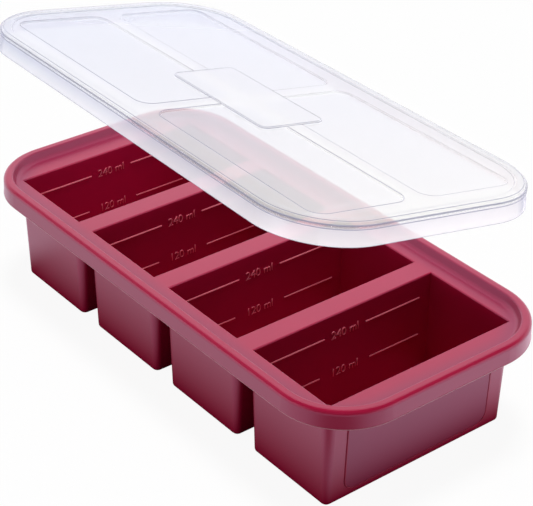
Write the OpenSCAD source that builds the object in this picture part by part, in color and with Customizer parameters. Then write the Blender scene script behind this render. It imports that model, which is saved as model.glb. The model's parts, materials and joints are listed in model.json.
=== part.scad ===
// Freezer tray for baby food: a silicone tray with a row of deep wells, a steel wire moulded into its rim,
// and a clear lid that covers the rim. Millimetres. Z = 0 is the deck around the wells, the cups hang below
// it, and X runs along the row.

/* [Wells] */
// Number of wells in the row
well_count = 4; // [2:1:6]
// Width of a well at the deck, along the row
well_w = 53.5; // [40:0.5:80]
// Length of a well at the deck, across the row
well_l = 110; // [80:1:140]
// Depth from the deck to a well's floor
well_depth = 54.3; // [44:0.1:80]
// Width of the divider between two wells, at the deck
divider_w = 12.5; // [11:0.5:20]
// Radius of the corner between a well's wall and its floor
floor_r = 4; // [2:0.5:8]
// Rounding of the deck's edge where a well opens
mouth_r = 0.8; // [0.4:0.1:1.5]

/* [Cups] */
// Thickness of the silicone walls at the deck
wall_t = 2; // [1.5:0.1:3]
// Thickness of the floor under a well
floor_t = 3; // [2:0.1:5]
// Draft of the cup walls, inside and out, in degrees
draft = 1.8; // [1:0.1:2.2]
// Radius of a cup's upright corners, at the deck
cup_corner_r = 5; // [4.5:0.1:7]
// Radius round the underside of a cup
foot_r = 2; // [1:0.1:2.5]

/* [Deck and rim] */
// Thickness of the deck plate
deck_t = 3.5; // [2.5:0.1:4]
// Deck and rim together, from an end well to the end of the tray
end_margin = 20.25; // [19:0.25:30]
// Deck and rim together, from a well to the long side of the tray
side_margin = 15.5; // [14:0.25:25]
// Radius of the tray's corners in plan
rim_corner_r = 35; // [26:0.1:36]
// Height of the lip above the deck
lip_h = 4.6; // [3:0.1:6]
// Draft of the rim's outer face, in degrees
rim_draft = 1.5; // [0.5:0.5:3]
// Depth of the rim's skirt below the deck
band_drop = 4.7; // [3.8:0.1:6]
// Thickness of the rim's bead, from its outer face inwards
bead_w = 7.5; // [6.5:0.1:9]
// Rounding of the lip's outer edge
lip_r = 2.2; // [1.5:0.1:2.5]
// Width of the flat along the top of the lip
lip_flat = 2; // [1:0.1:2.5]
// Rounding of the lip's inner edge
lip_in_r = 1; // [0.6:0.1:1.4]
// Slope of the lip's inner face, in degrees from level
lip_slope = 68; // [60:1:80]
// Radius of the cove between the lip and the deck
cove_r = 2.5; // [1.5:0.1:3]

/* [Rim wire] */
// Diameter of the steel wire
wire_d = 3; // [2:0.1:3.4]
// Distance from the rim's outer face to the middle of the wire
wire_inset = 4.4; // [4:0.1:4.6]
// Height of the middle of the wire above the deck
wire_z = -0.6; // [-1.2:0.1:0.2]
// Gap between the wire and the silicone around it
wire_gap = 0.05; // [0.02:0.01:0.1]

/* [Fill marks] */
// Depth of the full mark below the deck
full_mark = 11.6; // [6:0.1:16]
// Depth of the half mark below the deck
half_mark = 32.8; // [24:0.1:38]
// Thickness of a mark's raised line
mark_d = 0.9; // [0.4:0.1:1.2]
// Distance between the outer ends of a mark's two lines
mark_span = 95.6; // [60:0.2:100]
// Space between the two lines of the full mark
full_mark_space = 25.6; // [16:0.2:36]
// Space between the two lines of the half mark
half_mark_space = 31.2; // [16:0.2:40]

/* [Lid] */
// Thickness of the lid
lid_t = 1; // [0.8:0.1:1.6]
// Gap between the lid's skirt and the rim, at the top of the skirt
lid_gap = 1.5; // [0.8:0.1:2.5]
// Gap between the seated lid and the top of the lip
seat_gap = 0.2; // [0.1:0.05:0.5]
// Depth of the skirt below the underside of the lid
skirt_h = 9.2; // [6:0.1:9.4]
// Flare of the skirt, in degrees
skirt_flare = 7; // [3:0.5:10]
// Rounding of the lid's outer edge
lid_edge_r = 1.6; // [1:0.1:2]
// Width of the raised bead round the lid's top
lid_bead_w = 5.2; // [4:0.1:8]
// Height of that bead
lid_bead_h = 0.8; // [0.4:0.1:1.4]
// Distance from the lid's edge to the sunken panels
panel_inset = 15; // [12:0.5:22]
// Width of the cross rib between the four panels
rib_w = 9; // [6:0.5:14]
// Depth to which the panels are sunk
panel_drop = 0.8; // [0.4:0.1:1]
// Radius of the panels' corners
panel_r = 8; // [5:0.5:14]
// Length of the bare plate at the middle of the lid
plate_l = 80; // [40:1:100]
// Width of that plate
plate_w = 37; // [20:1:60]
// Height of that plate above the cross rib
plate_h = 0.5; // [0.3:0.1:1]
// Radius of that plate's corners
plate_r = 4; // [2:0.5:10]

/* [Lifted lid] */
// Angle through which the lid is swung up from its seat
lid_open = 10.5; // [0:0.5:20]
// Turn of the swing's axis away from the row, in degrees
swing_turn = 12; // [0:1:20]
// Dip of that axis below the level, in degrees
swing_dip = 18.5; // [0:0.5:25]
// Distance of the axis beyond the middle of the tray, across the row
swing_y = 378; // [300:1:450]
// Height of the axis above the deck
swing_z = -50; // [-60:1:0]

/* [Hidden] */

round_fn = 64;
arc_steps = 5;
flash_r = 0.4;
bead_slope = 1.5;
eps = 0.5;
sink = 0.2;

// Plan of the tray. Corner centres are shared by the rim, the wire and the lid.
pitch = well_w + divider_w;
row_l = well_count * well_w + (well_count - 1) * divider_w;
corner_x = row_l / 2 + end_margin - rim_corner_r;
corner_y = well_l / 2 + side_margin - rim_corner_r;

// Cups
cup_h = well_depth + floor_t;
cup_corner_x = well_w / 2 + wall_t - cup_corner_r;
cup_corner_y = well_l / 2 + wall_t - cup_corner_r;

// Rim radii, measured from the corner centres
lip_top_r = rim_corner_r - (lip_h + band_drop) * tan(rim_draft);

// Lid radii and heights in its seated place, from the same corner centres
skirt_in_r = lip_top_r + lid_gap;
skirt_out_r = skirt_in_r + lid_t;
skirt_spread = skirt_h * tan(skirt_flare);
ceiling_z = lip_h + seat_gap;
lid_top_z = ceiling_z + lid_t;

function bend(cx, cy, r, a0, a1) =
    [for (i = [0:arc_steps]) let (a = a0 + (a1 - a0) * i / arc_steps) [cx + r * cos(a), cy + r * sin(a)]];

// Sweeps a half section round a rounded rectangle. The section's x runs outwards from the corner centres,
// which stand at (+-cx, +-cy), and its y is height.
module sweep_round(cx, cy) {
    for (quarter = [0:3]) {
        a = quarter % 2 == 0 ? cx : cy;
        b = quarter % 2 == 0 ? cy : cx;
        rotate([0, 0, 90 * quarter]) {
            translate([a, b, 0]) rotate_extrude(angle = 90, $fn = round_fn) children();
            translate([a, b, 0]) rotate([90, 0, 0]) linear_extrude(2 * b) children();
        }
    }
}

// A rounded block: the swept half section, with the middle filled from z0 up to z1
module rounded_block(cx, cy, z0, z1) {
    sweep_round(cx, cy) children();
    translate([-cx, -cy, z0]) cube([2 * cx, 2 * cy, z1 - z0]);
}

// Half section of the deck and the rim, outwards from the corner centre. The lip's inner face is a straight
// slope between two roundings, which together take up both_r of radius.
module rim_section() {
    both_r = lip_in_r + cove_r;
    slope_run = (lip_h - both_r * (1 - cos(lip_slope))) / tan(lip_slope);
    lip_in_x = lip_top_r - lip_r - lip_flat;
    cove_x = lip_in_x - both_r * sin(lip_slope) - slope_run;
    bead_x = rim_corner_r - bead_w;
    polygon(concat(
        [[0, -deck_t], [0, 0]],
        bend(cove_x, cove_r, cove_r, -90, lip_slope - 90),
        bend(lip_in_x, lip_h - lip_in_r, lip_in_r, 90 + lip_slope, 90),
        bend(lip_top_r - lip_r, lip_h - lip_r, lip_r, 90, 0),
        [[rim_corner_r, -band_drop + flash_r], [rim_corner_r - flash_r, -band_drop]],
        [[bead_x, -band_drop], [bead_x - bead_slope, -deck_t]]
    ));
}

// Half section of a cup's outside, from inside the deck down to its foot
module cup_section() {
    top_z = -deck_t / 2;
    foot_x = cup_corner_r - cup_h * tan(draft);
    polygon(concat(
        [[0, -cup_h], [0, top_z], [cup_corner_r + top_z * tan(draft), top_z]],
        bend(foot_x - foot_r, foot_r - cup_h, foot_r, 0, -90)
    ));
}

// Whole section of a well across one of its two directions
module well_section(width) {
    floor_x = width / 2 - well_depth * tan(draft);
    half = concat(
        [[width / 2 + mouth_r, eps]],
        bend(width / 2 + mouth_r, -mouth_r, mouth_r, 90, 180),
        bend(floor_x - floor_r, floor_r - well_depth, floor_r, 0, -90)
    );
    polygon(concat(half, [for (i = [len(half) - 1:-1:0]) [-half[i][0], half[i][1]]]));
}

module well() {
    reach = well_l + 4 * mouth_r;
    intersection() {
        translate([0, reach / 2, 0]) rotate([90, 0, 0]) linear_extrude(reach) well_section(well_w);
        translate([-reach / 2, 0, 0]) rotate([90, 0, 90]) linear_extrude(reach) well_section(well_l);
    }
}

// The raised lines of one fill mark, half sunk in the well's wall
module fill_mark(depth, space) {
    line_l = (mark_span - space) / 2;
    wall_x = -(well_w / 2 - depth * tan(draft));
    for (side = [-1, 1])
        translate([wall_x, side * (space + line_l) / 2, -depth]) rotate([90, 0, 0])
            cylinder(h = line_l, d = mark_d, center = true, $fn = 24);
}

// The loop that the rim's wire follows, as thick as asked
module wire_loop(diameter) {
    sweep_round(corner_x, corner_y)
        translate([rim_corner_r - wire_inset, wire_z]) circle(d = diameter, $fn = 32);
}

module at_wells() {
    for (i = [0:well_count - 1])
        translate([(i - (well_count - 1) / 2) * pitch, 0, 0]) children();
}

module tray() {
    color("#a8264a") {
        difference() {
            union() {
                rounded_block(corner_x, corner_y, -deck_t, 0) rim_section();
                at_wells() rounded_block(cup_corner_x, cup_corner_y, -cup_h, -deck_t / 2) cup_section();
            }
            at_wells() well();
            wire_loop(wire_d + 2 * wire_gap);
        }
        at_wells() {
            fill_mark(full_mark, full_mark_space);
            fill_mark(half_mark, half_mark_space);
        }
    }
}

module rim_wire() {
    color("silver") wire_loop(wire_d);
}

// Half section of the lid: its plate, the bead round the top and the flared skirt
module lid_section() {
    bead_top = lid_top_z + lid_bead_h;
    bead_in = skirt_out_r - lid_bead_w;
    polygon(concat(
        [[0, ceiling_z], [0, lid_top_z], [bead_in - lid_bead_h, lid_top_z], [bead_in, bead_top]],
        bend(skirt_out_r - lid_edge_r, bead_top - lid_edge_r, lid_edge_r, 90, skirt_flare),
        [[skirt_out_r + skirt_spread, ceiling_z - skirt_h], [skirt_in_r + skirt_spread, ceiling_z - skirt_h]],
        [[skirt_in_r, ceiling_z]]
    ));
}

// A rounded panel sunk below height z, grown all round and reaching up by the amounts given. Its sides lean
// in by its depth.
module sunken_panel(length, width, grow, z, above) {
    r = panel_r + grow;
    base = z - panel_drop;
    rounded_block(length / 2 - panel_r, width / 2 - panel_r, base, z + above)
        polygon([[0, base], [0, z + above], [r, z + above], [r, z], [r - panel_drop, base]]);
}

// The four places of the lid's panels, one to each side of the cross rib
module at_panels(length, width) {
    for (sx = [-1, 1], sy = [-1, 1])
        translate([sx * (rib_w + length) / 2, sy * (rib_w + width) / 2, 0]) children();
}

// The lid in its seated place on the rim
module seated_lid() {
    panel_l = corner_x + skirt_out_r - panel_inset - rib_w / 2;
    panel_w = corner_y + skirt_out_r - panel_inset - rib_w / 2;
    difference() {
        union() {
            rounded_block(corner_x, corner_y, ceiling_z, lid_top_z) lid_section();
            at_panels(panel_l, panel_w) sunken_panel(panel_l, panel_w, lid_t / 2, ceiling_z, lid_t / 2);
        }
        at_panels(panel_l, panel_w) sunken_panel(panel_l, panel_w, 0, lid_top_z, eps);
    }
    bare_plate();
}

// The plain raised plate at the middle of the lid, over the cross rib and the panels' inner corners
module bare_plate() {
    base = lid_top_z - panel_drop - sink;
    top = lid_top_z + plate_h;
    rounded_block(plate_l / 2 - plate_r, plate_w / 2 - plate_r, base, top)
        polygon([[0, base], [0, top], [plate_r - plate_h / 2, top], [plate_r, lid_top_z], [plate_r, base]]);
}

module lid() {
    axis = [-cos(swing_dip) * cos(swing_turn), -cos(swing_dip) * sin(swing_turn), -sin(swing_dip)];
    color("#dfe4f2", 0.35)
        translate([0, swing_y, swing_z]) rotate(a = lid_open, v = axis) translate([0, -swing_y, -swing_z])
            seated_lid();
}

tray();
rim_wire();
lid();
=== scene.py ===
import bpy
import bmesh
import json
from math import radians, tan
from mathutils import Matrix, Quaternion, Vector


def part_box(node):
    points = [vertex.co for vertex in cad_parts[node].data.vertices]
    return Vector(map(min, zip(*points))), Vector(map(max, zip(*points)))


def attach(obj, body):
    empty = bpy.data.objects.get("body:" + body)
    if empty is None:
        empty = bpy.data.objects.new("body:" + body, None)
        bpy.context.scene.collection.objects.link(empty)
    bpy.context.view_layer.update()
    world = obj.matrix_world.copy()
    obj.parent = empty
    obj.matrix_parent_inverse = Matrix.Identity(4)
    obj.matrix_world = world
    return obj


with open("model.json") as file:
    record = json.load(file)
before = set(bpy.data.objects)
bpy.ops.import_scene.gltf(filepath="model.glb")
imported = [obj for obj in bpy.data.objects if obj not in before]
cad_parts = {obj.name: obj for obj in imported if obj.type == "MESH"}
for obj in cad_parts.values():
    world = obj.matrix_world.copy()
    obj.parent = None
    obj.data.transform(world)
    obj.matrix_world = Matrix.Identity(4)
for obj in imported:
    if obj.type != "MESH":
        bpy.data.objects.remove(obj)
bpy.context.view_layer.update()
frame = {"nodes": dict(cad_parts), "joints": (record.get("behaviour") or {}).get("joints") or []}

mm = 0.001

# The sizes that the tray and its lid are laid out by, as in the frame
tray = {
    "wells": 4,
    "pitch": 66 * mm,
    "halfWidth": 26.75 * mm,            # of a well at the deck, along the row
    "wall": 2 * mm,
    "draft": radians(1.8),
    "corner": (111 * mm, 35.5 * mm),    # centre of a corner, shared by the rim and the lid
    "rim": 35 * mm,                     # from there to the rim's outer face
    "bandFoot": -4.7 * mm,
}
lift = frame["joints"][0]
pivot = Matrix.Translation(lift["pos_m"])
swing = Matrix.Rotation(-radians(lift["range_deg"][0]), 4, Vector(lift["axis"]))
lidRaised = pivot @ swing @ pivot.inverted()            # from the lid's seated place to its raised one
facingY = Matrix.Rotation(radians(90), 4, "X")          # turns a flat ring upright, to be swept along Y
facingX = Matrix(((0, 0, 1, 0), (1, 0, 0, 0), (0, 1, 0, 0), (0, 0, 0, 1)))      # stands a flat piece up


def wellCentres():
    first = -(tray["wells"] - 1) / 2
    return [(first + i) * tray["pitch"] for i in range(tray["wells"])]


def linear(hexColour):
    # sRGB hex to the linear colour that shaders take
    channels = [int(hexColour[i:i + 2], 16) / 255 for i in (1, 3, 5)]
    return tuple(c / 12.92 if c <= 0.04045 else ((c + 0.055) / 1.055) ** 2.4 for c in channels) + (1.0,)


def addNode(tree, kind, inputs=None, **settings):
    # one shader node, with its settings, and its inputs set or linked by name or number
    node = tree.nodes.new("ShaderNode" + kind)
    for name, value in settings.items():
        setattr(node, name, value)
    for name, value in (inputs or {}).items():
        if isinstance(value, bpy.types.NodeSocket):
            tree.links.new(value, node.inputs[name])
        else:
            node.inputs[name].default_value = value
    return node


def newMaterial(name):
    material = bpy.data.materials.new(name)
    material.use_nodes = True
    material.node_tree.nodes.clear()
    return material, material.node_tree


def finishMaterial(tree, shader):
    addNode(tree, "OutputMaterial", {"Surface": shader.outputs[0]})


def meshPiece(name, bm, material, body):
    mesh = bpy.data.meshes.new(name)
    bm.to_mesh(mesh)
    bm.free()
    piece = bpy.data.objects.new(name, mesh)
    bpy.context.scene.collection.objects.link(piece)
    mesh.materials.append(material)
    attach(piece, body)
    return piece


def addLoop(bm, half, corner, height, thickness, middle=(0, 0), sides=8, steps=8):
    # a round bead of the given thickness, swept along a rounded rectangle
    oldVerts, oldFaces = set(bm.verts), set(bm.faces)
    x, y = half[0] - corner, half[1] - corner
    circle = bmesh.ops.create_circle(bm, segments=sides, radius=thickness / 2)["verts"]
    place = Matrix.Translation((half[0], -y, height))
    bmesh.ops.transform(bm, matrix=place @ facingY, verts=circle)
    ring = list(dict.fromkeys(e for v in circle for e in v.link_edges))
    for run, centre in (((0, 2 * y, 0), (x, y)), ((-2 * x, 0, 0), (-x, y)),
                        ((0, -2 * y, 0), (-x, -y)), ((2 * x, 0, 0), (x, -y))):
        out = bmesh.ops.extrude_edge_only(bm, edges=ring)["geom"]
        bmesh.ops.translate(bm, vec=run, verts=[g for g in out if isinstance(g, bmesh.types.BMVert)])
        ring = [g for g in out if isinstance(g, bmesh.types.BMEdge)]
        out = bmesh.ops.spin(bm, geom=ring, cent=(*centre, height), axis=(0, 0, 1),
                             angle=radians(90), steps=steps)["geom_last"]
        ring = [g for g in out if isinstance(g, bmesh.types.BMEdge)]
    made = [v for v in bm.verts if v not in oldVerts]
    bmesh.ops.translate(bm, vec=(*middle, 0), verts=made)
    bmesh.ops.remove_doubles(bm, verts=made, dist=0.001 * mm)
    faces = [f for f in bm.faces if f not in oldFaces]
    for f in faces:
        f.smooth = True
    bmesh.ops.recalc_face_normals(bm, faces=faces)


silicone = {
    "body": "#AD0D3B",          # cranberry, through and through
    "cloud": 0.87,              # how dark the faint unevenness of the pigment gets
    "clouds": 22 * mm,          # size of a patch of pigment
    "roughness": 0.34,
    "ior": 1.62,
    "gloss": "#ECE0FF",         # its bloom gives the gloss a breath of lavender
    "plate": "#930D3A",         # a shade deeper on the end plate, which the mould's coarser blasting dulls
    "plateRoughness": 0.42,
    "grain": 0.35 * mm,         # the blasted mould's grain, coarser than the real 0.1 mm so that it shows
    "grainDepth": 0.02 * mm,
    "grainStrength": 0.1,
    "paintedSheenShade": "#931D42",          # painted sheen and shade: a dull mauve on the deck, most by the lip, for the room's reflection in the cove and the shade towards the lip
    "paintedSheenShadeStart": (18 * mm, 27 * mm),        # distances beyond the corner centres between which it grows
    "paintedSheenShadeEnd": (31 * mm, 29.5 * mm),        # and between which, on the lip, it ends
    "paintedSheenShadeHeight": (-1.5 * mm, -0.5 * mm),   # it stays on top: heights between which it sets in
}


def addPaintedSheenShade(tree, place):
    # how strong the painted sheen and shade is: only beyond the corner centres, up to the lip, and only on
    # top
    side = addNode(tree, "VectorMath", {0: place.outputs["Object"]}, operation="ABSOLUTE")
    corner = (*tray["corner"], 1)       # a metre up, so that height doesn't count
    off = addNode(tree, "VectorMath", {0: side.outputs[0], 1: corner}, operation="SUBTRACT")
    out = addNode(tree, "VectorMath", {0: off.outputs[0], 1: (0, 0, 0)}, operation="MAXIMUM")
    reach = addNode(tree, "VectorMath", {0: out.outputs[0]}, operation="LENGTH")
    starts, ends = [
        addNode(tree, "MapRange", {"Value": reach.outputs["Value"], "From Min": silicone[part][0],
                                   "From Max": silicone[part][1]}, interpolation_type="SMOOTHSTEP")
        for part in ("paintedSheenShadeStart", "paintedSheenShadeEnd")]
    height = addNode(tree, "SeparateXYZ", {0: place.outputs["Object"]})
    onTop = addNode(tree, "MapRange", {"Value": height.outputs["Z"], "From Min": silicone["paintedSheenShadeHeight"][0],
                                       "From Max": silicone["paintedSheenShadeHeight"][1]})
    inside = addNode(tree, "Math", {0: starts.outputs[0], 1: ends.outputs[0]}, operation="MULTIPLY")
    return addNode(tree, "Math", {0: inside.outputs[0], 1: onTop.outputs[0]}, operation="MULTIPLY")


def makeSilicone(name, body, roughness):
    # Platinum silicone, pressed in a finely blasted steel mould: satin gloss over a deep, even red, with
    # painted sheen and shade on the deck by the lip
    material, tree = newMaterial(name)
    place = addNode(tree, "TexCoord")
    clouds = addNode(tree, "TexNoise", {"Vector": place.outputs["Object"], "Scale": 1 / silicone["clouds"],
                                        "Detail": 3.0})
    pigment = addNode(tree, "Mix", {0: clouds.outputs["Fac"], 6: linear(body),
                                    7: [c * silicone["cloud"] for c in linear(body)]}, data_type="RGBA")
    # painted sheen and shade by the lip, laid over the pigment
    paintedSheenShade = addPaintedSheenShade(tree, place)
    colour = addNode(tree, "Mix", {0: paintedSheenShade.outputs[0], 6: pigment.outputs[2], 7: linear(silicone["paintedSheenShade"])},
                     data_type="RGBA")
    grain = addNode(tree, "TexNoise", {"Vector": place.outputs["Object"], "Scale": 1 / silicone["grain"],
                                       "Detail": 2.0, "Roughness": 0.6})
    bump = addNode(tree, "Bump", {"Height": grain.outputs["Fac"], "Strength": silicone["grainStrength"],
                                  "Distance": silicone["grainDepth"]})
    shader = addNode(tree, "BsdfPrincipled", {
        "Base Color": colour.outputs[2],
        "Roughness": roughness,
        "IOR": silicone["ior"],
        "Specular Tint": linear(silicone["gloss"]),
        "Normal": bump.outputs["Normal"],
    })
    finishMaterial(tree, shader)
    return material


# pale colours of painted highlight: crest for the fill marks, flash for the line at the mould's parting;
# patch is the size of a place where the highlight is less pale
crestHighlight = {"colour": "#EE8192", "wornHighlight": "#DC5C72", "patch": 6 * mm, "roughness": 0.3, "ior": 1.55}
flashHighlight = {"colour": "#D6929F", "wornHighlight": "#C4697C", "patch": 6 * mm, "roughness": 0.3, "ior": 1.55}


def makePaintedHighlight(name, finish):
    # Painted highlight: the same silicone where it stands up in a fine line, coloured pale as its lit crest,
    # in patches a little less pale
    material, tree = newMaterial(name)
    place = addNode(tree, "TexCoord")
    highlightWear = addNode(tree, "TexNoise", {"Vector": place.outputs["Object"], "Scale": 1 / finish["patch"],
                                      "Detail": 2.0})
    colour = addNode(tree, "Mix", {0: highlightWear.outputs["Fac"], 6: linear(finish["colour"]),
                                   7: linear(finish["wornHighlight"])}, data_type="RGBA")
    shader = addNode(tree, "BsdfPrincipled", {"Base Color": colour.outputs[2],
                                              "Roughness": finish["roughness"], "IOR": finish["ior"]})
    finishMaterial(tree, shader)
    return material


# colour of the painted shade round the end plate
shadeRing = {"colour": "#7E0A30", "patch": 9 * mm, "roughness": 0.6}


def makeShadeRing():
    # Painted shade: silicone coloured deeper and duller than the wall, for a narrow step where little light
    # comes
    material, tree = newMaterial("shadedSiliconeStep")
    place = addNode(tree, "TexCoord")
    depth = addNode(tree, "TexNoise", {"Vector": place.outputs["Object"], "Scale": 1 / shadeRing["patch"],
                                       "Detail": 2.0})
    colour = addNode(tree, "Mix", {0: depth.outputs["Fac"], 6: linear(shadeRing["colour"]),
                                   7: linear(silicone["body"])}, data_type="RGBA")
    shader = addNode(tree, "BsdfPrincipled", {"Base Color": colour.outputs[2],
                                              "Roughness": shadeRing["roughness"]})
    finishMaterial(tree, shader)
    return material


# heights are those of the seated lid, above the deck
lidPlastic = {
    "haze": ("#F3F4F1", "#E0E4ED"),         # the milkiness, with painted shade that makes it darker and bluer towards the -X end
    "hazeShadeEnds": (0.13, -0.15),              # where the two ends are, along the row
    "skirtTop": ("#F1EEF4", "#C6D0EA"),     # the skirt's top at both ends, darker and bluer than its foot, with the same painted shade towards the -X end
    "skirtFoot": ("#FFFCFE", "#F2F5FD"),
    "skirtFade": (4.4 * mm, -2.5 * mm),     # heights between which the one turns into the other
    "skirt": (4.8 * mm, 3.0 * mm),          # heights between which the top turns into the skirt
    "edge": "#6C78A8",          # painted dark refraction where a wall is seen along its length, at the corners
    "edgeFacing": (0.6, 0.9),               # how far the wall is turned away as that sets in
    "edgeShare": 0.9,
    "share": 0.47,              # haze of each of the two skins that a line of sight goes through
    # the skirt is frosted to grip it by
    "skirtShare": 0.55,
    "stepShare": 0.32,          # of a step's sloping side; an upright sliver inside a panel is clear
    "slope": (0.72, 0.92),                  # how level a face is where the sloping side turns into the top
    "upright": (0.05, 0.2),                 # and where the sliver turns into the sloping side
    "through": 0.1,             # of the haze's light, how much comes from behind it
    "clear": "#FFFFFF",
    "glow": 1.5,                # painted glow: how bright the milky sheet shines, though it is no lamp, in the tray's gloss that mirrors it
    "roughness": 0.16,
    "ior": 1.49,
    "coatIor": 1.8,             # the moulded skin, glossier than the plastic under it
    "line": "#8E8FA2",          # painted shade of the moulded steps, where the plastic is seen along its length
    "lineRoughness": 0.3,
    "lineShare": (0.2, 0.62),   # from the far side to the near one, where the light comes through them
    "lineAcross": (0.35, -1.0, 0.0),        # the way from the one to the other
    "lineEnds": (-0.06, 0.0),               # and how far along it they are
}


def addLidHaze(tree, place, height, seat, skirt):
    # the milkiness turns darker and bluer along the row as painted shade, pales down the skirt, and darkens
    # where a wall is seen edge on as painted dark refraction
    along = addNode(tree, "SeparateXYZ", {0: place.outputs["Object"]})
    shadedEnd = addNode(tree, "MapRange", {"Value": along.outputs["X"], "From Min": lidPlastic["hazeShadeEnds"][0],
                                     "From Max": lidPlastic["hazeShadeEnds"][1]})
    top, skirtTop, skirtFoot = [
        addNode(tree, "Mix", {0: shadedEnd.outputs[0], 6: linear(front), 7: linear(back)}, data_type="RGBA")
        for front, back in (lidPlastic["haze"], lidPlastic["skirtTop"], lidPlastic["skirtFoot"])]
    down = addNode(tree, "MapRange", {"Value": height.outputs["Value"],
                                      "From Min": seat + lidPlastic["skirtFade"][0],
                                      "From Max": seat + lidPlastic["skirtFade"][1]})
    skirtHaze = addNode(tree, "Mix", {0: down.outputs[0], 6: skirtTop.outputs[2], 7: skirtFoot.outputs[2]},
                        data_type="RGBA")
    body = addNode(tree, "Mix", {0: skirt.outputs[0], 6: top.outputs[2], 7: skirtHaze.outputs[2]},
                   data_type="RGBA")
    # painted dark refraction: the colour darkens as the wall turns edge on
    glancing = addNode(tree, "LayerWeight", {"Blend": 0.5})
    onEdge = addNode(tree, "MapRange", {"Value": glancing.outputs["Facing"],
                                        "From Min": lidPlastic["edgeFacing"][0],
                                        "From Max": lidPlastic["edgeFacing"][1],
                                        "To Max": lidPlastic["edgeShare"]})
    edge = addNode(tree, "Math", {0: onEdge.outputs[0], 1: skirt.outputs[0]}, operation="MULTIPLY")
    return addNode(tree, "Mix", {0: edge.outputs[0], 6: body.outputs[2], 7: linear(lidPlastic["edge"])},
                   data_type="RGBA")


def addLidShare(tree, place, up, skirt):
    # the haze is in the level faces and the skirt, and less in the steps' sides, which are thin skins too
    flat = addNode(tree, "VectorMath", {0: place.outputs["Normal"], 1: up}, operation="DOT_PRODUCT")
    level = addNode(tree, "Math", {0: flat.outputs["Value"]}, operation="ABSOLUTE")
    topShare = addNode(tree, "MapRange", {"Value": level.outputs[0],
                                          "From Min": lidPlastic["slope"][0],
                                          "From Max": lidPlastic["slope"][1],
                                          "To Min": lidPlastic["stepShare"],
                                          "To Max": lidPlastic["share"]})
    sloping = addNode(tree, "MapRange", {"Value": level.outputs[0], "From Min": lidPlastic["upright"][0],
                                         "From Max": lidPlastic["upright"][1]})
    stepped = addNode(tree, "Math", {0: topShare.outputs[0], 1: sloping.outputs[0]}, operation="MULTIPLY")
    return addNode(tree, "MapRange", {"Value": skirt.outputs[0], "To Min": stepped.outputs[0],
                                      "To Max": lidPlastic["skirtShare"]})


def makeLidPlastic():
    # Clear polypropylene, injection moulded thin: glossy outside, a little milky all through
    material, tree = newMaterial("clearMouldedLid")
    light = addNode(tree, "LightPath")
    place = addNode(tree, "TexCoord")
    up = lidRaised.to_3x3() @ Vector((0, 0, 1))
    seat = up.dot(lidRaised.translation)
    height = addNode(tree, "VectorMath", {0: place.outputs["Object"], 1: up}, operation="DOT_PRODUCT")
    skirt = addNode(tree, "MapRange", {"Value": height.outputs["Value"],
                                       "From Min": seat + lidPlastic["skirt"][0],
                                       "From Max": seat + lidPlastic["skirt"][1]})
    haze = addLidHaze(tree, place, height, seat, skirt)
    share = addLidShare(tree, place, up, skirt)
    gloss = addNode(tree, "BsdfPrincipled", {
        "Base Color": haze.outputs[2],
        "Roughness": lidPlastic["roughness"],
        "IOR": lidPlastic["ior"],
        "Coat Weight": 1.0,
        "Coat IOR": lidPlastic["coatIor"],
        "Coat Roughness": lidPlastic["roughness"],
    })
    inside = addNode(tree, "BsdfDiffuse", {"Color": haze.outputs[2]})
    facing = addNode(tree, "NewGeometry")
    skin = addNode(tree, "MixShader", {0: facing.outputs["Backfacing"], 1: gloss.outputs[0],
                                       2: inside.outputs[0]})
    behind = addNode(tree, "BsdfTranslucent", {"Color": haze.outputs[2]})
    milk = addNode(tree, "MixShader", {0: lidPlastic["through"], 1: skin.outputs[0], 2: behind.outputs[0]})
    clear = addNode(tree, "BsdfTransparent", {"Color": linear(lidPlastic["clear"])})
    mixed = addNode(tree, "MixShader", {0: share.outputs[0], 1: clear.outputs[0], 2: milk.outputs[0]})
    shade = addNode(tree, "MixShader", {0: light.outputs["Is Shadow Ray"], 1: mixed.outputs[0],
                                        2: clear.outputs[0]})
    # painted glow: glossy rays see the lid's milk as a light
    lit = addNode(tree, "Emission", {"Color": linear(lidPlastic["clear"]), "Strength": lidPlastic["glow"]})
    glow = addNode(tree, "MixShader", {0: share.outputs[0], 1: clear.outputs[0], 2: lit.outputs[0]})
    mirrored = addNode(tree, "MixShader", {0: light.outputs["Is Glossy Ray"], 1: shade.outputs[0],
                                           2: glow.outputs[0]})
    finishMaterial(tree, mirrored)
    material.cycles.emission_sampling = "NONE"
    return material


def makeLidShadeLine():
    # Painted shade: the same plastic at a sharp step, coloured grey-blue so that it reads as a fine line
    # where the step leads the light away
    material, tree = newMaterial("lidStepPaintedShade")
    light = addNode(tree, "LightPath")
    dim = addNode(tree, "BsdfPrincipled", {"Base Color": linear(lidPlastic["line"]),
                                           "Roughness": lidPlastic["lineRoughness"],
                                           "IOR": lidPlastic["ior"]})
    clear = addNode(tree, "BsdfTransparent", {"Color": linear(lidPlastic["clear"])})
    place = addNode(tree, "TexCoord")
    across = addNode(tree, "VectorMath", {0: place.outputs["Object"], 1: lidPlastic["lineAcross"]},
                     operation="DOT_PRODUCT")
    share = addNode(tree, "MapRange", {"Value": across.outputs["Value"],
                                       "From Min": lidPlastic["lineEnds"][0],
                                       "From Max": lidPlastic["lineEnds"][1],
                                       "To Min": lidPlastic["lineShare"][0],
                                       "To Max": lidPlastic["lineShare"][1]})
    mixed = addNode(tree, "MixShader", {0: share.outputs[0], 1: clear.outputs[0], 2: dim.outputs[0]})
    shade = addNode(tree, "MixShader", {0: light.outputs["Is Shadow Ray"], 1: mixed.outputs[0],
                                        2: clear.outputs[0]})
    mirrored = addNode(tree, "MixShader", {0: light.outputs["Is Glossy Ray"], 1: shade.outputs[0],
                                           2: clear.outputs[0]})
    finishMaterial(tree, mirrored)
    return material


wire = {"colour": "#B9BBBE", "roughness": 0.28}


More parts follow.
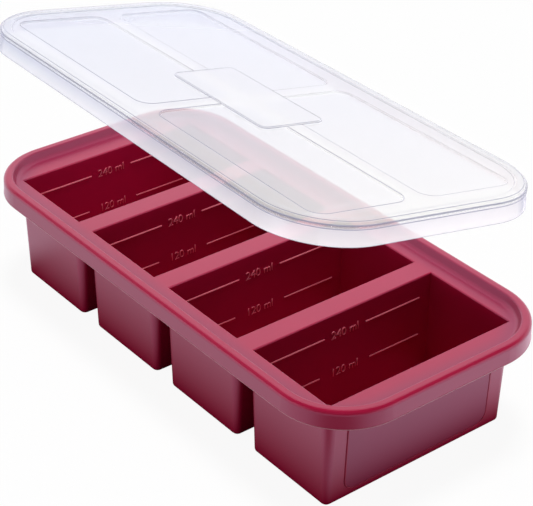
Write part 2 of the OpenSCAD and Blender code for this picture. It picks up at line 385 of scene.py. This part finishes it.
def makeWireSteel():
    # Spring steel wire, drawn bright: a clean grey with a soft shine
    material, tree = newMaterial("drawnSteelWire")
    shader = addNode(tree, "BsdfPrincipled", {"Base Color": linear(wire["colour"]), "Metallic": 1.0,
                                              "Roughness": wire["roughness"]})
    finishMaterial(tree, shader)
    return material


siliconeMaterial = makeSilicone("pressedSilicone", silicone["body"], silicone["roughness"])
plateMaterial = makeSilicone("blastedSiliconePlate", silicone["plate"], silicone["plateRoughness"])
crestHighlightMaterial = makePaintedHighlight("paintedHighlightSiliconeCrest", crestHighlight)
flashHighlightMaterial = makePaintedHighlight("partingFlashPaintedHighlight", flashHighlight)
shadeRingMaterial = makeShadeRing()
lidMaterial = makeLidPlastic()
lidShadeLineMaterial = makeLidShadeLine()
wireMaterial = makeWireSteel()
for node, material in (("tray", siliconeMaterial), ("rim_wire", wireMaterial), ("lid", lidMaterial)):
    mesh = frame["nodes"][node].data
    mesh.materials.clear()
    mesh.materials.append(material)
print("materials made")


camera = {
    "azimuth": 51.15,
    "elevation": 31.53,
    "roll": 0.96,
    "target": (9.53 * mm, 2.09 * mm, 0),
    "distance": 876.1 * mm,
    "lens": 119.18,
    "sensor": 36,
    "clip": (0.05, 50),
}


def makeCamera():
    azimuth, elevation = radians(camera["azimuth"]), radians(camera["elevation"])
    back = Quaternion((0, 0, 1), azimuth) @ Quaternion((1, 0, 0), -elevation) @ Vector((0, -1, 0))
    roll = Quaternion((0, 0, 1), radians(camera["roll"]))
    data = bpy.data.cameras.new("camera")
    data.lens = camera["lens"]
    data.sensor_width = camera["sensor"]
    data.clip_start, data.clip_end = camera["clip"]
    eye = bpy.data.objects.new("camera", data)
    bpy.context.scene.collection.objects.link(eye)
    eye.rotation_mode = "QUATERNION"
    eye.rotation_quaternion = (-back).to_track_quat("-Z", "Y") @ roll
    eye.location = Vector(camera["target"]) + back * camera["distance"]
    bpy.context.scene.camera = eye


floor = {
    "size": 6.0,
    "shadow": 0.07,                     # how much of the cast shadow shows
    "paper": "#505054",                 # painted shade: the floor's grey in the object's own shade
    "near": (0.128, 0.057, 0.0),        # half size of the patch under the cups
    "spread": (0.022, 0.042, 1.0),      # how far beyond it the floor is in shade
    "dark": (0.20, -0.12, 0.0),         # a painted dark place on the floor, which the front corner mirrors
    "darkSize": (0.03, 0.09),           # distances from there between which the floor turns lit
    "darkLeft": 0.15,                   # how much light is left in it
    "bright": 1.5,                      # the lit floor, as glossy faces mirror it
    "pool": (0.22, 0.12, 0.0),          # a painted pool of light where the lamp beyond the end of the row would light it most
    "poolSize": (0.05, 0.18),
    "poolBright": 2.1,
    "glow": 0.3,                        # the light that it gives off
    "tint": "#F6F2FF",
}


def addLitShare(tree, level):
    # painted shade: how much of the lit floor there is: none under the cups, and little at the dark place
    side = addNode(tree, "VectorMath", {0: level.outputs[0]}, operation="ABSOLUTE")
    off = addNode(tree, "VectorMath", {0: side.outputs[0], 1: floor["near"]}, operation="SUBTRACT")
    out = addNode(tree, "VectorMath", {0: off.outputs[0], 1: (0, 0, 0)}, operation="MAXIMUM")
    ramp = addNode(tree, "VectorMath", {0: out.outputs[0], 1: floor["spread"]}, operation="DIVIDE")
    away = addNode(tree, "VectorMath", {0: ramp.outputs[0]}, operation="LENGTH")
    lit = addNode(tree, "MapRange", {"Value": away.outputs["Value"]})
    fromDark = addNode(tree, "VectorMath", {0: level.outputs[0], 1: floor["dark"]}, operation="DISTANCE")
    clearOfDark = addNode(tree, "MapRange", {"Value": fromDark.outputs["Value"],
                                             "From Min": floor["darkSize"][0],
                                             "From Max": floor["darkSize"][1],
                                             "To Min": floor["darkLeft"]}, interpolation_type="SMOOTHSTEP")
    return addNode(tree, "Math", {0: lit.outputs[0], 1: clearOfDark.outputs[0]}, operation="MULTIPLY")


def makeFloorPaper():
    # White paper under studio light: nearly white to the eye, with painted shade near the cups and a painted
    # pool of light, where gloss mirrors it
    material, tree = newMaterial("paleFloor")
    light = addNode(tree, "LightPath")
    seen = addNode(tree, "Math", {0: light.outputs["Is Camera Ray"], 1: light.outputs["Is Transmission Ray"]},
                   operation="MAXIMUM")
    place = addNode(tree, "TexCoord")
    level = addNode(tree, "VectorMath", {0: place.outputs["Object"], 1: (1, 1, 0)}, operation="MULTIPLY")
    share = addLitShare(tree, level)
    fromPool = addNode(tree, "VectorMath", {0: level.outputs[0], 1: floor["pool"]}, operation="DISTANCE")
    mirror = addNode(tree, "MapRange", {"Value": fromPool.outputs["Value"], "From Min": floor["poolSize"][0],
                                        "From Max": floor["poolSize"][1], "To Min": floor["poolBright"],
                                        "To Max": floor["bright"]}, interpolation_type="SMOOTHSTEP")
    strength = addNode(tree, "Mix", {0: light.outputs["Is Glossy Ray"], 2: floor["glow"],
                                     3: mirror.outputs[0]})
    mirrored = addNode(tree, "Emission", {"Color": linear(floor["tint"]), "Strength": strength.outputs[0]})
    paper = addNode(tree, "BsdfDiffuse", {"Color": linear(floor["paper"])})
    room = addNode(tree, "MixShader", {0: share.outputs[0], 1: paper.outputs[0], 2: mirrored.outputs[0]})
    glow = addNode(tree, "Emission", {"Color": (1, 1, 1, 1), "Strength": 1.0})
    white = addNode(tree, "BsdfDiffuse", {"Color": (1, 1, 1, 1)})
    pale = addNode(tree, "MixShader", {0: floor["shadow"], 1: glow.outputs[0], 2: white.outputs[0]})
    shown = addNode(tree, "MixShader", {0: seen.outputs[0], 1: room.outputs[0], 2: pale.outputs[0]})
    finishMaterial(tree, shown)
    return material


def makeFloor():
    bm = bmesh.new()
    bmesh.ops.create_grid(bm, x_segments=1, y_segments=1, size=floor["size"] / 2)
    bmesh.ops.translate(bm, verts=bm.verts, vec=(0, 0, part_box("tray")[0][2]))
    mesh = bpy.data.meshes.new("floor")
    bm.to_mesh(mesh)
    bm.free()
    ground = bpy.data.objects.new("floor", mesh)
    bpy.context.scene.collection.objects.link(ground)
    mesh.materials.append(makeFloorPaper())


# A pair says where a part of the room sets in. A pair whose name ends in Up goes by how high that is, from 0,
# level, to 1, overhead, and the others by how far to the front it is, from 1, in front, to -1, behind.
studio = {
    "soft": 0.15,                       # even light from all round
    "mirrored": 1.3,                    # the white room, as glossy faces mirror it
    "tint": "#F8F6FF",
    "front": (0.78, -0.63, 0.0),        # towards the dark end of the room, which the roundings mirror
    "frontDark": 0.93,                  # how much of its light it lacks
    "darkEnd": (0.5, 0.8),
    "darkHalf": (-0.7, -0.35),          # dark too, above the white paper that hangs round its sides
    "darkHalfUp": (0.25, 0.5),
    "farWall": 1.65,                    # the upper part of the far wall
    "farWallAt": (-0.5, -0.74),
    "farWallUp": (0.15, 0.45),
    "skyline": 0.9,                     # how much brighter the room is along the floor
    "skylineUp": (0.22, 0.08),
}
lamps = {
    "top": {"place": (-0.1, 0.2, 3.0), "size": (0.8, 0.8), "power": 68},
    "left": {"place": (-0.05, -1.4, 0.05), "size": (0.9, 0.14), "power": 4.1},
    "right": {"place": (0.62, 0.38, 0.0), "size": (0.45, 0.1), "power": 0.95},
    # the lid's skirt, with the light kept off the tray
    "skirt": {"place": (1.2, -0.8, 0.1), "size": (0.5, 0.3), "power": 10.5, "only": "lid"},
    # what the lid's raised end throws back into the first well
    "bounce": {"place": (-0.076, 0, 0.004), "size": (0.09, 0.01), "power": 0.005, "aim": (-0.126, 0, -0.03),
               "only": "tray"},
}


def addRoomLight(tree, place):
    # how bright each part of the room is
    toward = addNode(tree, "VectorMath", {0: place.outputs["Generated"],
                                          1: Vector(studio["front"]).normalized()}, operation="DOT_PRODUCT")
    up = addNode(tree, "SeparateXYZ", {0: place.outputs["Generated"]})
    across, height = toward.outputs["Value"], up.outputs["Z"]
    darkEnd, darkHalf, darkHalfUp, farWallAt, farWallUp = [
        addNode(tree, "MapRange", {"Value": value, "From Min": studio[part][0], "From Max": studio[part][1]},
                interpolation_type="SMOOTHSTEP")
        for part, value in (("darkEnd", across), ("darkHalf", across), ("darkHalfUp", height),
                            ("farWallAt", across), ("farWallUp", height))]
    upper = addNode(tree, "Math", {0: darkHalf.outputs[0], 1: darkHalfUp.outputs[0]}, operation="MULTIPLY")
    dark = addNode(tree, "Math", {0: upper.outputs[0], 1: darkEnd.outputs[0]}, operation="MAXIMUM")
    lightLeft = addNode(tree, "MapRange", {"Value": dark.outputs[0], "To Min": 1.0,
                                           "To Max": 1 - studio["frontDark"]})
    farWall = addNode(tree, "Math", {0: farWallAt.outputs[0], 1: farWallUp.outputs[0]}, operation="MULTIPLY")
    wall = addNode(tree, "MapRange", {"Value": farWall.outputs[0], "To Min": studio["mirrored"],
                                      "To Max": studio["farWall"]})
    skyline = addNode(tree, "MapRange", {"Value": height, "From Min": studio["skylineUp"][0],
                                         "From Max": studio["skylineUp"][1], "To Max": studio["skyline"]},
                      interpolation_type="SMOOTHSTEP")
    bright = addNode(tree, "Math", {0: wall.outputs[0], 1: skyline.outputs[0]}, operation="ADD")
    return addNode(tree, "Math", {0: bright.outputs[0], 1: lightLeft.outputs[0]}, operation="MULTIPLY")


def makeWorld():
    # white to the eye, a soft even light, and in the gloss a white room with a dark end
    world = bpy.data.worlds.new("studio")
    world.use_nodes = True
    bpy.context.scene.world = world
    tree = world.node_tree
    tree.nodes.clear()
    light = addNode(tree, "LightPath")
    seen = addNode(tree, "Math", {0: light.outputs["Is Camera Ray"], 1: light.outputs["Is Transmission Ray"]},
                   operation="MAXIMUM")
    place = addNode(tree, "TexCoord")
    shade = addRoomLight(tree, place)
    white = addNode(tree, "Background", {"Color": (1, 1, 1, 1), "Strength": 1.0})
    room = addNode(tree, "Background", {"Color": linear(studio["tint"]), "Strength": shade.outputs[0]})
    soft = addNode(tree, "Background", {"Color": (1, 1, 1, 1), "Strength": studio["soft"]})
    both = addNode(tree, "MixShader", {0: light.outputs["Is Glossy Ray"], 1: soft.outputs[0],
                                       2: room.outputs[0]})
    every = addNode(tree, "MixShader", {0: seen.outputs[0], 1: both.outputs[0], 2: white.outputs[0]})
    addNode(tree, "OutputWorld", {"Surface": every.outputs[0]})


def makeLamp(name, lamp):
    data = bpy.data.lights.new(name, "AREA")
    data.shape = "RECTANGLE"
    data.size, data.size_y = lamp["size"]
    data.energy = lamp["power"]
    source = bpy.data.objects.new(name, data)
    bpy.context.scene.collection.objects.link(source)
    source.location = lamp["place"]
    source.rotation_mode = "QUATERNION"
    aim = Vector(lamp.get("aim", (0, 0, 0))) - Vector(lamp["place"])
    source.rotation_quaternion = aim.to_track_quat("-Z", "Y")
    source.visible_glossy = False       # the room is what the gloss shows
    source.visible_camera = source.visible_transmission = False
    if "only" in lamp:
        source.light_linking.receiver_collection = bpy.data.collections.new(name)
        source.light_linking.receiver_collection.objects.link(frame["nodes"][lamp["only"]])


makeCamera()
makeFloor()
makeWorld()
for name, lamp in lamps.items():
    makeLamp(name, lamp)
bpy.context.scene.view_settings.view_transform = "Standard"
print("camera, floor and light made")


marks = {
    "labels": ("240 ml", "120 ml"),
    "depths": (11.6 * mm, 32.8 * mm),       # below the deck
    "spaces": (25.6 * mm, 31.2 * mm),       # left for the label between a mark's two lines
    "span": 95.6 * mm,
    "thickness": 0.95 * mm,
    "sides": 12,
    "tip": 0.6,                             # how thick a line is at its tips, of its full thickness
    "taper": 0.15,                          # and how long the tips are
    "letter": 4.4 * mm,                     # height of a capital letter,
    "letterShare": 0.7,                     # which is this much of the font's size
    "relief": 0.5 * mm,
    "rounding": 0.12 * mm,
    "thinning": 1.4,                        # how far the strokes are drawn in, of their rounding
}


def markWall(x, depth):
    # where the wall of the well at x stands at a mark's depth
    return x - tray["halfWidth"] + depth * tan(tray["draft"])


def makeMarkLines(x):
    # the crests of one well's fill marks, which take the pale colour of painted highlight
    bm = bmesh.new()
    tip = marks["tip"]
    taper = marks["taper"] * marks["thickness"]
    for depth, space in zip(marks["depths"], marks["spaces"]):
        run = (marks["span"] - space) / 2
        for start in (-marks["span"] / 2, space / 2):
            ring = bmesh.ops.create_circle(bm, segments=marks["sides"], radius=tip * marks["thickness"] / 2,
                                           cap_ends=True)["verts"]
            place = Matrix.Translation((markWall(x, depth), start, -depth))
            bmesh.ops.transform(bm, matrix=place @ facingY, verts=ring)
            end = list({f for v in ring for f in v.link_faces})
            for reach, size in ((taper, 1 / tip), (run - 2 * taper, 1.0), (taper, tip)):
                out = bmesh.ops.extrude_face_region(bm, geom=end)["geom"]
                bmesh.ops.delete(bm, geom=end, context="FACES_ONLY")
                end = [g for g in out if isinstance(g, bmesh.types.BMFace)]
                ring = [g for g in out if isinstance(g, bmesh.types.BMVert)]
                bmesh.ops.translate(bm, vec=(0, reach, 0), verts=ring)
                middle = sum((v.co for v in ring), Vector()) / len(ring)
                bmesh.ops.scale(bm, vec=(size, 1, size), space=Matrix.Translation(-middle), verts=ring)
    for f in bm.faces:
        f.smooth = len(f.verts) == 4
    bmesh.ops.holes_fill(bm, edges=[e for e in bm.edges if e.is_boundary], sides=marks["sides"])
    bmesh.ops.recalc_face_normals(bm, faces=bm.faces)
    return bm


def makeNumbers(x):
    # the raised labels of one well's fill marks, half sunk in its wall
    bm = bmesh.new()
    for label, depth in zip(marks["labels"], marks["depths"]):
        curve = bpy.data.curves.new("number", "FONT")
        curve.body = label
        curve.size = marks["letter"] / marks["letterShare"]
        curve.align_x, curve.align_y = "CENTER", "CENTER"
        curve.extrude = marks["relief"] - marks["rounding"]
        curve.bevel_depth, curve.bevel_resolution = marks["rounding"], 2
        curve.offset = -marks["thinning"] * marks["rounding"]
        text = bpy.data.objects.new("number", curve)
        mesh = bpy.data.meshes.new_from_object(text)
        bpy.data.objects.remove(text)
        bpy.data.curves.remove(curve)
        lean = Matrix.Rotation(-tray["draft"], 4, "Y")
        mesh.transform(Matrix.Translation((markWall(x, depth), 0, -depth)) @ lean @ facingX)
        bm.from_mesh(mesh)
        bpy.data.meshes.remove(mesh)
    return bm


# the marks and their labels take the pale colour of painted highlight
for i, x in enumerate(wellCentres()):
    meshPiece("mark_lines_%d" % (i + 1), makeMarkLines(x), crestHighlightMaterial, "tray")
    meshPiece("mark_numbers_%d" % (i + 1), makeNumbers(x), crestHighlightMaterial, "tray")
print("fill marks made")


bandLine = {"thickness": 0.5 * mm, "inset": 0.12 * mm}


def makeBandLine():
    # the fine flash that the mould's parting leaves along the bottom of the rim's band, coloured pale as a
    # painted highlight on that edge
    bm = bmesh.new()
    radius = tray["rim"] - bandLine["inset"]
    half = [c + radius for c in tray["corner"]]
    addLoop(bm, half, radius, tray["bandFoot"] + bandLine["inset"], bandLine["thickness"], steps=16)
    meshPiece("band_line", bm, flashHighlightMaterial, "tray")


makeBandLine()
print("band line made")


endPlate = {
    "halfWidth": 44 * mm,
    "top": -9 * mm,
    "bottom": -52.6 * mm,
    "corner": 6 * mm,
    "thickness": 0.15 * mm,     # how far it stands out, and how far it is sunk
    "shadeRing": 0.8 * mm,
}


def placeOnEnd(bm):
    middle = (endPlate["top"] + endPlate["bottom"]) / 2
    row = wellCentres()[-1] + tray["halfWidth"] + tray["wall"]
    lean = Matrix.Rotation(tray["draft"], 4, "Y")
    place = Matrix.Translation((row + middle * tan(tray["draft"]), 0, middle))
    bmesh.ops.transform(bm, matrix=place @ lean @ facingX, verts=bm.verts)


def makeEndPlate():
    # the plain raised plate on the end cup
    bm = bmesh.new()
    size = (2 * endPlate["halfWidth"], endPlate["top"] - endPlate["bottom"], 1)
    bmesh.ops.create_grid(bm, x_segments=1, y_segments=1, size=0.5)
    bmesh.ops.scale(bm, vec=size, verts=bm.verts)
    bmesh.ops.bevel(bm, geom=bm.verts[:], offset=endPlate["corner"], offset_type="OFFSET", segments=8,
                    profile=0.5, affect="VERTICES", material=-1)
    top = bmesh.ops.extrude_face_region(bm, geom=bm.faces[:])["geom"]
    raised = [v for v in top if isinstance(v, bmesh.types.BMVert)]
    bmesh.ops.translate(bm, vec=(0, 0, 2 * endPlate["thickness"]), verts=raised)
    bmesh.ops.translate(bm, vec=(0, 0, -endPlate["thickness"]), verts=bm.verts)
    bmesh.ops.recalc_face_normals(bm, faces=bm.faces)
    placeOnEnd(bm)
    meshPiece("end_plate", bm, plateMaterial, "tray")


def makeEndPlateShadeRing():
    # a dark ring of painted shade round the plate's foot
    bm = bmesh.new()
    edge = endPlate["shadeRing"] / 2
    half = (endPlate["halfWidth"] + edge, (endPlate["top"] - endPlate["bottom"]) / 2 + edge)
    addLoop(bm, half, endPlate["corner"] + edge, 0, endPlate["shadeRing"])
    placeOnEnd(bm)
    meshPiece("end_plate_shade_ring", bm, shadeRingMaterial, "tray")


makeEndPlate()
makeEndPlateShadeRing()
print("end plate made")


# heights are those of the seated lid, above the deck
lidLines = {
    "loops": (                              # distance from the corner centres, height, thickness
        (31.3 * mm, 5.8 * mm, 0.3 * mm),        # foot of the bead
        (35.7 * mm, 6.6 * mm, 0.4 * mm),        # bead's outer edge
        (37.25 * mm, 5.1 * mm, 0.9 * mm),       # top of the skirt
        (37.5 * mm, 3.4 * mm, 0.5 * mm),        # where its rounding ends
        (38.35 * mm, -4.3 * mm, 0.25 * mm),     # foot of the skirt
    ),
    "panel": (64.38 * mm, 26.63 * mm),      # half sizes of a sunken panel
    "panelAt": (68.88 * mm, 31.13 * mm),    # its middle, from the lid's
    "panelCorner": 8 * mm,
    "panelTop": 5.8 * mm,
    "plate": (40 * mm, 18.5 * mm),          # half sizes of the raised plate
    "plateCorner": 4 * mm,
    "plateTop": 6.3 * mm,
    "plateInset": 0.5 * mm,                 # from its foot to its upper edge
    "fine": 0.35 * mm,
    "finest": 0.18 * mm,                    # round the two far panels
}


def addPanelLines(bm):
    # round the four panels, stopping at the plate
    for sx in (-1, 1):
        for sy in (-1, 1):
            addLoop(bm, lidLines["panel"], lidLines["panelCorner"], lidLines["panelTop"],
                    lidLines["fine"] if sy < 0 else lidLines["finest"],
                    middle=(sx * lidLines["panelAt"][0], sy * lidLines["panelAt"][1]), sides=6)
    for normal, reach in zip((Vector((1, 0, 0)), Vector((0, 1, 0))), lidLines["plate"]):
        for side in (1, -1):
            bmesh.ops.bisect_plane(bm, geom=bm.verts[:] + bm.edges[:] + bm.faces[:],
                                   plane_co=side * reach * normal, plane_no=normal)
    middles = [(f, f.calc_center_median()) for f in bm.faces]
    plateX, plateY = lidLines["plate"]
    covered = [f for f, at in middles if abs(at.x) < plateX and abs(at.y) < plateY]
    bmesh.ops.delete(bm, geom=covered, context="FACES")
    bmesh.ops.holes_fill(bm, edges=[e for e in bm.edges if e.is_boundary], sides=12)


def makeLidLines():
    # fine lines of light and shade along the lid's moulded steps
    bm = bmesh.new()
    addPanelLines(bm)
    addLoop(bm, lidLines["plate"], lidLines["plateCorner"], lidLines["panelTop"], lidLines["fine"], sides=6)
    addLoop(bm, [c - lidLines["plateInset"] for c in lidLines["plate"]],
            lidLines["plateCorner"] - lidLines["plateInset"], lidLines["plateTop"], lidLines["fine"], sides=6)
    for radius, height, thickness in lidLines["loops"]:
        addLoop(bm, [c + radius for c in tray["corner"]], radius, height, thickness, steps=16)
    bmesh.ops.transform(bm, matrix=lidRaised, verts=bm.verts)
    return meshPiece("lid_lines", bm, lidShadeLineMaterial, "lid")


bpy.data.collections["skirt"].objects.link(makeLidLines())      # the skirt's lamp lights them too
print("lid lines made")
